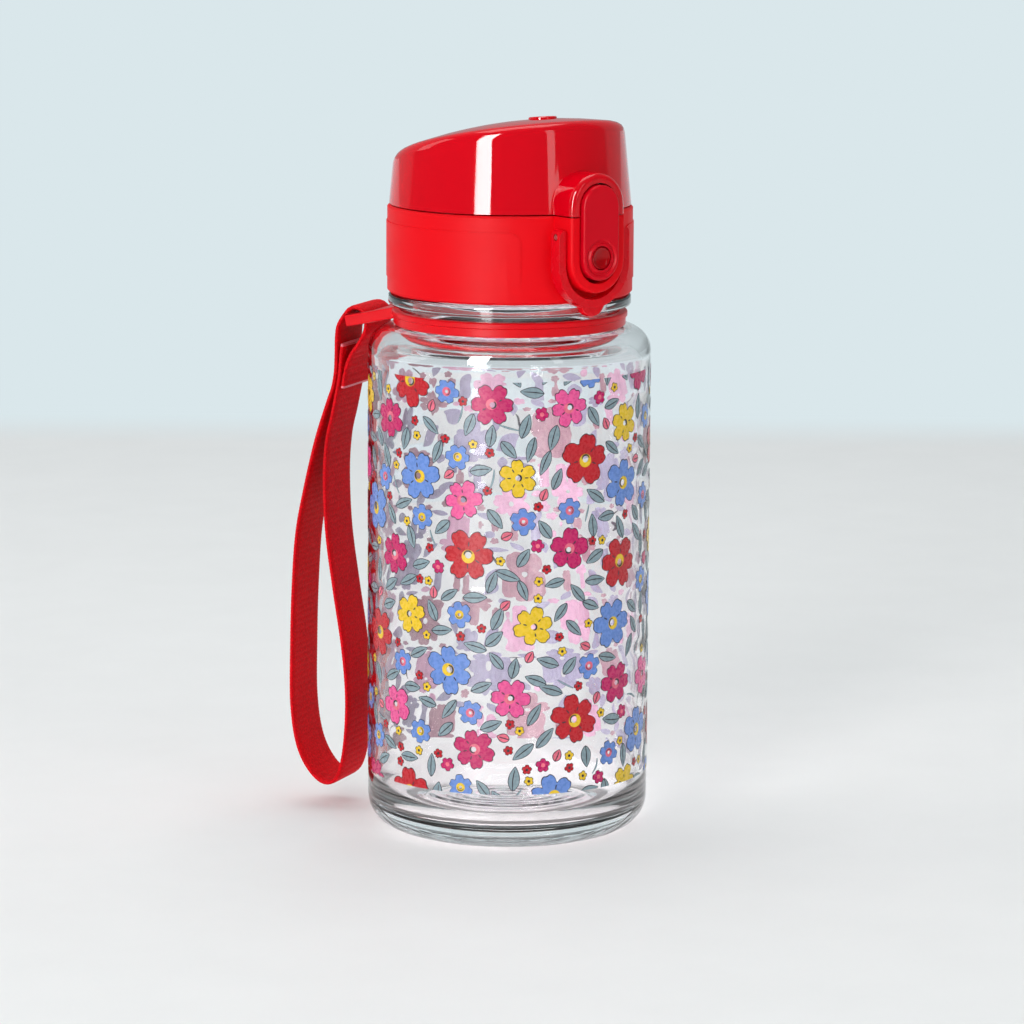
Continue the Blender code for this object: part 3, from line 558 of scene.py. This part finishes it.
def scatter(draw):
    """Where everything is printed: the large flowers first, then what fits between them."""
    placed = big_flowers(draw)
    kinds = [
        ("small_blue", 36, 3.1, 0.5), ("leaf", 260, 1.9, 0.1), ("small_magenta", 36, 1.65, 0.35),
        ("bud", 34, 1.4, 0.2), ("tiny_red", 80, 1.1, 0.3), ("tiny_yellow", 80, 1.1, 0.3),
        ("stem", 40, 1.3, 0.0),
    ]
    for kind, wanted, radius, clear in kinds:
        for _ in range(wanted):
            best = None
            for _ in range(60):
                spot = (draw.uniform(0, AROUND), draw.uniform(PRINT_LOW - 2, PRINT_HIGH + 2))
                room, alike = 1e9, 60.0
                for other, x, z, other_r in placed:
                    away = apart(spot, (x, z))
                    room = min(room, away - other_r - radius)
                    if other == kind:
                        alike = min(alike, away)
                    if room < clear:
                        break
                if room >= clear and (best is None or alike > best[0]):
                    best = (alike, *spot)
            if best:
                placed.append((kind, best[1], best[2], radius))
    return placed


def ink_material(name, color):
    made = Recipe("ink_" + name)
    made.colour(made.noise(1.6, 4.0), shaded(color, 0.93), shaded(color, 1.06))
    made.roughness(made.noise(0.8), 0.22, 0.34)
    made.bump(made.noise(0.35, 2.0), 0.01, 0.4)
    return made.material


def make_print():
    draw = random.Random(350)
    sheet = Print()
    eyes = {"red": "yellow", "blue": "yellow", "magenta": "bud", "pink": "bud", "yellow": None}
    for kind, x, z, radius in scatter(draw):
        place = (x, z)
        if kind in eyes:
            draw_flower(sheet, place, radius, kind, eyes[kind], draw.choice((6, 6, 6, 5)), draw)
        elif kind == "small_blue":
            draw_flower(sheet, place, radius, "blue", draw.choice(("yellow", "bud")), 6, draw)
        elif kind == "small_magenta":
            draw_flower(sheet, place, radius, "magenta", "bud", 5, draw)
        elif kind == "tiny_red":
            draw_flower(sheet, place, radius, "red", "outline", 5, draw)
        elif kind == "tiny_yellow":
            draw_flower(sheet, place, radius, "yellow", "outline", 5, draw)
        elif kind == "bud":
            draw_leaf(sheet, place, 2.7, 1.8, draw.uniform(0, 6.28), "bud", draw)
        elif kind == "stem":
            draw_stem(sheet, place, draw.uniform(0, 6.28), draw)
        else:
            draw_leaf(
                sheet, place, draw.uniform(4.6, 5.8), draw.uniform(1.9, 2.4),
                draw.uniform(0, 6.28), "leaf", draw,
            )
    mesh = bpy.data.meshes.new("flower_print")
    mesh.from_pydata([(x, layer, z) for x, z, layer in sheet.points], [], sheet.faces)
    mesh.polygons.foreach_set("material_index", [INKS.index(ink) for ink in sheet.inks])
    bm = bmesh.new()
    bm.from_mesh(mesh)
    for height, facing in ((PRINT_LOW, -1), (PRINT_HIGH, 1)):
        bmesh.ops.bisect_plane(
            bm, geom=list(bm.verts) + list(bm.edges) + list(bm.faces), plane_co=(0, 0, height),
            plane_no=(0, 0, facing), clear_outer=True,
        )
    for vert in bm.verts:
        x, layer, z = vert.co
        radius = BODY_R + 0.012 + INK * layer
        angle = x / BODY_R
        vert.co = (radius * math.cos(angle), radius * math.sin(angle), z)
    for face in bm.faces:
        middle = face.calc_center_median()
        if face.normal.dot(Vector((middle.x, middle.y, 0))) < 0:
            face.normal_flip()
    bmesh.ops.scale(bm, vec=(MM, MM, MM), verts=bm.verts)
    bm.to_mesh(mesh)
    bm.free()
    colours = {
        "red": srgb(196, 10, 30), "blue": srgb(106, 142, 214), "pink": srgb(236, 84, 150),
        "magenta": srgb(200, 14, 98), "yellow": srgb(240, 198, 36), "leaf": srgb(138, 158, 166),
        "outline": srgb(44, 38, 50), "bud": srgb(236, 112, 134), "back_warm": srgb(182, 138, 150),
        "back_cool": srgb(168, 162, 188), "back_rose": srgb(222, 172, 198),
    }
    piece = object_of("flower_print", mesh, [ink_material(ink, colours[ink]) for ink in INKS], 60)
    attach(piece, "bottle")


# ---------------------------------------------------------------- the wrist strap


def smooth_path(points, per_span):
    padded = [points[0], *points, points[-1]]
    line = []
    for a, b, c, d in zip(padded, padded[1:], padded[2:], padded[3:]):
        a, b, c, d = (Vector(p) for p in (a, b, c, d))
        for i in range(per_span):
            t = i / per_span
            line.append(
                0.5 * (2 * b + (c - a) * t + (2 * a - 5 * b + 4 * c - d) * t**2
                       + (3 * b - a - 3 * c + d) * t**3)
            )
    line.append(Vector(points[-1]))
    return line


def strap_line():
    """The strap's middle line, as (distance out, height) in the ear's own plane."""
    along = (SLOT_OUT + EAR_TIP) / 2 - RING_R
    out = RING_R + along * math.cos(EAR_SLOPE)
    z = (RING_BOTTOM + RING_TOP) / 2 - along * math.sin(EAR_SLOPE)
    under = [(39.5, 102.2), (39.0, 106.0), (37.6, 109.9), (35.2, 113.4), (33.8, 116.2)]
    over = [(out + x, z + h) for x, h in arc(0, 0, STRAP_LOOP_R, 180, 30, 5)]
    outer_leg = [
        (40.6, 117.2), (41.1, 114.2), (41.2, 110.0), (41.4, 106.0), (42.1, 102.2), (43.4, 98.6),
        (46.5, 89.2), (49.5, 77.0), (51.6, 66.0), (52.6, 52.0), (53.0, 38.0), (53.0, 25.0),
    ]
    foot = [(51.6, 15.5), (48.6, 9.4), (44.6, 6.3), (41.2, 8.0), (39.3, 15.0)]
    inner_leg = [
        (38.6, 27.0), (39.6, 39.5), (41.8, 53.5), (43.7, 67.0), (44.3, 80.0), (43.7, 89.2),
        (42.2, 96.0), (40.9, 102.2), (40.3, 106.0), (39.9, 110.6), (39.5, 112.8),
    ]
    return smooth_path([*under, *over, *outer_leg, *foot, *inner_leg], 24)


def resampled(line, step):
    """Points a fixed distance apart along a line, and the line's length."""
    made, left = [line[0]], step
    total = 0.0
    for a, b in zip(line, line[1:]):
        length = (b - a).length
        total += length
        used = 0.0
        while length - used >= left:
            used += left
            made.append(a.lerp(b, used / length))
            left = step
        left -= length - used
    return made, total


def webbing_material():
    made = Recipe("strap_webbing")
    made.colour(made.noise(0.5, 3.0), srgb(196, 0, 12), srgb(238, 4, 26), 0.3, 0.7)
    made.roughness(made.noise(0.4), 0.55, 0.75)
    made.bump(made.noise(0.16, 2.0), 0.05, 0.7)
    made.set(Specular_IOR_Level=0.08)
    return made.material


def fused_material():
    made = Recipe("strap_fused_end")
    made.colour(made.noise(0.3, 3.0), srgb(226, 60, 84), srgb(250, 150, 160), 0.3, 0.7)
    made.roughness(made.noise(0.3), 0.25, 0.45)
    made.bump(made.noise(0.25, 2.0), 0.05, 0.7)
    return made.material


STRAP_STEP = 0.25
RIB_PITCH = 1.5
BRAID_PITCH = 0.85
BRAID_WIDTH = 1.1


def webbing_height(along, across):
    """How far the woven face stands out, with across from -1 to 1."""
    from_edge = (1 - abs(across)) * STRAP_WIDTH / 2
    if from_edge < BRAID_WIDTH:
        t = from_edge / BRAID_WIDTH
        slant = along + (0.5 if across > 0 else -0.5) * from_edge
        twist = abs(math.sin(math.pi * slant / BRAID_PITCH))
        return 0.10 * math.sin(math.pi * min(1, t + 0.18)) * (0.35 + 0.65 * twist)
    return 0.085 * abs(math.sin(math.pi * along / RIB_PITCH)) ** 0.7


def make_strap():
    line, total = resampled(strap_line(), STRAP_STEP)
    columns = 42
    spread = [
        -math.cos(math.pi * k / columns) * 0.35 + (2 * k / columns - 1) * 0.65
        for k in range(columns + 1)
    ]
    bm = bmesh.new()
    rings = []
    for i, point in enumerate(line):
        before, after = line[max(i - 1, 0)], line[min(i + 1, len(line) - 1)]
        ahead = (after - before).normalized()
        side = Vector((ahead.y, -ahead.x))
        along = i * STRAP_STEP
        weld = 0.12 * math.exp(-((along - 3.8) / 0.7) ** 2)
        ring = []
        for face in (1, -1):
            for across in (spread if face > 0 else spread[::-1]):
                edge = abs(across) ** 14
                body = (STRAP_THICK / 2 - 0.04) * (1 - 0.55 * edge)
                lift = body + webbing_height(along, across) - weld
                wave = 0.06 * abs(math.sin(math.pi * along / BRAID_PITCH)) * edge
                width = across * (STRAP_WIDTH / 2 + wave)
                place = point + side * face * lift
                ring.append(bm.verts.new((place.x, width, place.y)))
        rings.append(ring)
    count = len(rings[0])
    for ring, after in zip(rings, rings[1:]):
        for i in range(count):
            j = (i + 1) % count
            bm.faces.new((ring[i], ring[j], after[j], after[i]))
    ends = []
    half = columns + 1
    for ring in (rings[0], rings[-1]):
        for i in range(columns):
            ends.append(bm.faces.new((ring[i], ring[i + 1], ring[count - 2 - i], ring[count - 1 - i])))
    for face in ends:
        face.material_index = 1
    bm.verts.index_update()
    close = set()
    for ring in rings[:3] + rings[-3:]:
        close.update(ring)
    for face in bm.faces:
        if all(v in close for v in face.verts):
            face.material_index = 1
    turn = Matrix.Rotation(EAR_ANGLE, 3, "Z")
    bmesh.ops.rotate(bm, cent=(0, 0, 0), matrix=turn, verts=bm.verts)
    strap = object_from("webbing_strap", bm, [webbing_material(), fused_material()], 70)
    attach(strap, "strap")
    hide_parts("wrist_strap")


# ---------------------------------------------------------------- finishes of the CAD nodes


def paint(node, recipe):
    obj = frame["nodes"][node]
    obj.data.materials.clear()
    obj.data.materials.append(recipe.material)


def skin(node, name, recipe, bevel_mm):
    """The CAD node's own shape with smooth shading and its hard edges rounded off."""
    source = frame["nodes"][node]
    bm = bmesh.new()
    bm.from_mesh(source.data)
    bmesh.ops.remove_doubles(bm, verts=bm.verts, dist=1e-6)
    bmesh.ops.dissolve_limit(
        bm, angle_limit=math.radians(1.0), verts=bm.verts, edges=bm.edges, delimit={"NORMAL"},
    )
    bm.verts.index_update()
    mesh = bpy.data.meshes.new(name)
    mesh.from_pydata(
        [v.co[:] for v in bm.verts], [], [[v.index for v in f.verts] for f in bm.faces],
    )
    bm.free()
    obj = object_of(name, mesh, recipe.material, 32)
    if bevel_mm:
        rounded = obj.modifiers.new("rounding", "BEVEL")
        rounded.width = bevel_mm * MM
        rounded.segments = 2
        rounded.limit_method = "ANGLE"
        rounded.angle_limit = math.radians(38)
        rounded.use_clamp_overlap = True
    weighted = obj.modifiers.new("weighted", "WEIGHTED_NORMAL")
    weighted.keep_sharp = True
    body = next(b for b, nodes in frame["record"]["behaviour"]["bodies"].items() if node in nodes)
    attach(obj, body)
    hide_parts(node)
    return obj


def make_finishes():
    lid_red = srgb(216, 0, 22)
    gloss = moulded("lid_gloss", lid_red, 0.03, 0.06, 0.5, 0.0015, shine=0.42)
    sleeve = moulded("sleeve_matt", srgb(236, 0, 18), 0.42, 0.5, 0.3, 0.012, shine=0.1)
    ring = moulded("ring_satin", srgb(228, 4, 22), 0.28, 0.34, 0.4, 0.008, shine=0.2)
    button = moulded("button_satin", srgb(212, 0, 26), 0.3, 0.36, 0.3, 0.008, shine=0.14)
    bail = moulded("bail_satin", srgb(222, 0, 22), 0.25, 0.3, 0.3, 0.008, shine=0.22)
    dot = moulded("dot_gloss", srgb(164, 0, 8), 0.05, 0.08, 0.5, 0.0015, shine=0.22)
    inner = moulded("inner_red", srgb(222, 10, 26), 0.3, 0.4, 0.3, 0.01)
    white = moulded("spout_white", srgb(236, 236, 232), 0.3, 0.4, 0.3, 0.01)
    silicone = moulded("silicone", srgb(226, 228, 228), 0.35, 0.45, 0.3, 0.01)
    steel = Recipe("steel")
    steel.colour(steel.noise(0.8), (0.5, 0.5, 0.5), (0.68, 0.68, 0.68))
    steel.roughness(steel.noise(0.4), 0.18, 0.3)
    steel.set(Metallic=1.0)
    skins = {
        "lid_shell": ("lid", gloss, 0.12), "cap_sleeve": ("sleeve", sleeve, 0.1),
        "strap_ring": ("ring", ring, 0.1), "release_button": ("button", button, 0.12),
        "lock_bail": ("bail", bail, 0.1), "button_dot": ("dot", dot, 0),
        "spout": ("mouthpiece", white, 0),
    }
    for node, (name, recipe, bevel) in skins.items():
        skin(node, name + "_skin", recipe, bevel)
    looks = {
        "spout_deck": inner, "lid_liner": inner, "vent_valve": silicone, "spout_o_ring": silicone,
        "neck_gasket": silicone, "spout_seal": silicone, "lid_hinge_pin": steel,
        "lid_spring": steel, "button_spring": steel, "pivot_pin": steel,
    }
    for node, recipe in looks.items():
        paint(node, recipe)


# ---------------------------------------------------------------- floor, light and camera

CAMERA_SIDE = -36.0  # the camera's azimuth, in degrees
TABLE_EDGE = (0.56, 0.64)  # how far behind the bottle the table turns into the wall, in metres
WALL_COLOUR = srgb(218, 231, 235)
ROOM_COLOUR = srgb(217, 231, 234)

# How bright the room is: 1 at the wall, and less overhead and at the camera's side
WALL_FROM, WALL_FULL = 0.24, 0.42
CEILING_FROM, CEILING_FULL = 0.55, 0.9
CEILING = 0.7
DARK_SIDE = 0.42
GLOSS_LEVEL = 0.45  # the share of it that shows in a glossy surface
CLEAR_LEVEL = 0.82  # the least that shows through the clear plastic

# The lamps: azimuth from the camera's, elevation, distance, (width, height), watts, glint only
LAMPS = {
    "window": (-25, 17, 1.3, (0.30, 1.25), 9.0, False),
    "glint": (-26, 22, 1.25, (0.34, 1.0), 22.0, True),
    "left_fill": (-100, 28, 1.5, (0.5, 1.0), 2.8, False),
    "right_fill": (40, 20, 1.8, (0.25, 0.9), 2.0, False),
    "top": (180, 82, 1.3, (1.0, 0.8), 7.0, False),
}
LAMP_AIM = (0, 0, 0.1)

# The camera, in metres and degrees
LENS = 155.16
CAMERA_PLACE = (-0.60058, -0.82663, 0.25310)
CAMERA_TURN, CAMERA_TILT, CAMERA_ROLL = -36.046, 80.07, 0.315


def make_floor():
    """A pale table that ends softly against the pale blue wall of the room."""
    bm = bmesh.new()
    bmesh.ops.create_grid(bm, x_segments=2, y_segments=2, size=6000)
    made = Recipe("floor_paint")
    grain = made.noise(26.0, 4.0)
    made.colour(grain, srgb(236, 232, 231), srgb(238, 234, 233), 0.3, 0.7)
    made.roughness(made.noise(8.0), 0.5, 0.6)
    made.set(Specular_IOR_Level=0.12)
    coordinates = made.node("ShaderNodeTexCoord")
    away = made.node("ShaderNodeVectorMath", operation="DOT_PRODUCT")
    angle = math.radians(-CAMERA_SIDE)
    away.inputs[1].default_value = (math.sin(angle), math.cos(angle), 0)
    made.link(coordinates.outputs["Object"], away.inputs[0])
    edge = made.node("ShaderNodeMapRange", interpolation_type="SMOOTHSTEP")
    edge.inputs["From Min"].default_value, edge.inputs["From Max"].default_value = TABLE_EDGE
    made.link(away.outputs["Value"], edge.inputs["Value"])
    wall = made.node("ShaderNodeEmission")
    wall.inputs["Color"].default_value = (*WALL_COLOUR, 1)
    wall.inputs["Strength"].default_value = 1.0
    mix = made.node("ShaderNodeMixShader")
    made.link(edge.outputs["Result"], mix.inputs[0])
    made.link(made.shader.outputs["BSDF"], mix.inputs[1])
    made.link(wall.outputs["Emission"], mix.inputs[2])
    made.link(mix.outputs["Shader"], made.tree.nodes["Material Output"].inputs["Surface"])
    floor = object_from("floor", bm, made.material)


def area_light(name, place, aim, size, power, glint):
    """A soft lamp. A glint one shows in glossy surfaces only."""
    lamp = bpy.data.lights.new(name, "AREA")
    lamp.shape = "RECTANGLE"
    lamp.size, lamp.size_y = size
    lamp.energy = power
    obj = bpy.data.objects.new(name, lamp)
    obj.location = place
    obj.rotation_euler = (Vector(aim) - Vector(place)).to_track_quat("-Z", "Y").to_euler()
    obj.visible_diffuse = not glint
    obj.visible_transmission = not glint
    bpy.context.scene.collection.objects.link(obj)


def seen_from(azimuth, elevation, distance):
    """A point round the bottle, with azimuth 0 at -Y and growing towards +X."""
    a, e = math.radians(azimuth), math.radians(elevation)
    out = Vector((math.sin(a) * math.cos(e), -math.cos(a) * math.cos(e), math.sin(e)))
    return Vector(LAMP_AIM) + out * distance


def room_light(world):
    """The room: a bright wall behind the bottle, dimmer overhead and at the camera's side.

    Glossy surfaces mirror it more dimly and the clear plastic shows it more brightly, which keeps
    the reds deep and the bottle pale.
    """
    tree = world.node_tree
    back = tree.nodes["Background"]

    def node(kind, **settings):
        made = tree.nodes.new(kind)
        for key, value in settings.items():
            setattr(made, key, value)
        return made

    def step(source, low, high, top):
        made = node("ShaderNodeMapRange", interpolation_type="SMOOTHSTEP")
        made.inputs["From Min"].default_value = low
        made.inputs["From Max"].default_value = high
        made.inputs["To Max"].default_value = top
        tree.links.new(source, made.inputs["Value"])
        return made.outputs["Result"]

    coordinates = node("ShaderNodeTexCoord")
    ahead = node("ShaderNodeVectorMath", operation="DOT_PRODUCT")
    angle = math.radians(-CAMERA_SIDE)
    ahead.inputs[1].default_value = (math.sin(angle), math.cos(angle), 0)
    tree.links.new(coordinates.outputs["Generated"], ahead.inputs[0])
    parts = node("ShaderNodeSeparateXYZ")
    tree.links.new(coordinates.outputs["Generated"], parts.inputs["Vector"])
    wall = step(ahead.outputs["Value"], WALL_FROM, WALL_FULL, 1.0)
    ceiling = step(parts.outputs["Z"], CEILING_FROM, CEILING_FULL, CEILING)
    most = node("ShaderNodeMath", operation="MAXIMUM")
    tree.links.new(wall, most.inputs[0])
    tree.links.new(ceiling, most.inputs[1])
    level = node("ShaderNodeMath", operation="MAXIMUM")
    level.inputs[1].default_value = DARK_SIDE
    tree.links.new(most.outputs["Value"], level.inputs[0])
    path = node("ShaderNodeLightPath")
    mirrored = node("ShaderNodeMath", operation="MULTIPLY_ADD")
    mirrored.inputs[1].default_value = GLOSS_LEVEL - 1
    mirrored.inputs[2].default_value = 1.0
    tree.links.new(path.outputs["Is Glossy Ray"], mirrored.inputs[0])
    dimmed = node("ShaderNodeMath", operation="MULTIPLY")
    tree.links.new(level.outputs["Value"], dimmed.inputs[0])
    tree.links.new(mirrored.outputs["Value"], dimmed.inputs[1])
    clear = node("ShaderNodeMath", operation="MULTIPLY")
    clear.inputs[1].default_value = CLEAR_LEVEL
    tree.links.new(path.outputs["Is Transmission Ray"], clear.inputs[0])
    direct = node("ShaderNodeMath", operation="MAXIMUM")
    tree.links.new(path.outputs["Is Camera Ray"], direct.inputs[0])
    tree.links.new(clear.outputs["Value"], direct.inputs[1])
    seen = node("ShaderNodeMath", operation="MAXIMUM")
    tree.links.new(direct.outputs["Value"], seen.inputs[0])
    tree.links.new(dimmed.outputs["Value"], seen.inputs[1])
    back.inputs["Color"].default_value = (*ROOM_COLOUR, 1)
    tree.links.new(seen.outputs["Value"], back.inputs["Strength"])


def make_lights():
    world = bpy.data.worlds.new("soft_room")
    bpy.context.scene.world = world
    world.use_nodes = True
    room_light(world)
    for name, (azimuth, elevation, distance, size, power, glint) in LAMPS.items():
        place = seen_from(CAMERA_SIDE + azimuth, elevation, distance)
        area_light(name, place, LAMP_AIM, size, power, glint)


def make_camera():
    data = bpy.data.cameras.new("camera")
    data.sensor_width = 36
    data.lens = LENS
    data.clip_start, data.clip_end = 0.01, 100
    camera = bpy.data.objects.new("camera", data)
    bpy.context.scene.collection.objects.link(camera)
    place = Matrix.Translation(CAMERA_PLACE)
    turn = (
        Matrix.Rotation(math.radians(CAMERA_TURN), 4, "Z")
        @ Matrix.Rotation(math.radians(CAMERA_TILT), 4, "X")
        @ Matrix.Rotation(math.radians(CAMERA_ROLL), 4, "Z")
    )
    camera.matrix_world = place @ turn
    bpy.context.scene.camera = camera


make_camera()
make_bottle()
make_print()
make_strap()
make_finishes()
make_floor()
make_lights()
bpy.context.scene.view_settings.view_transform = "Standard"
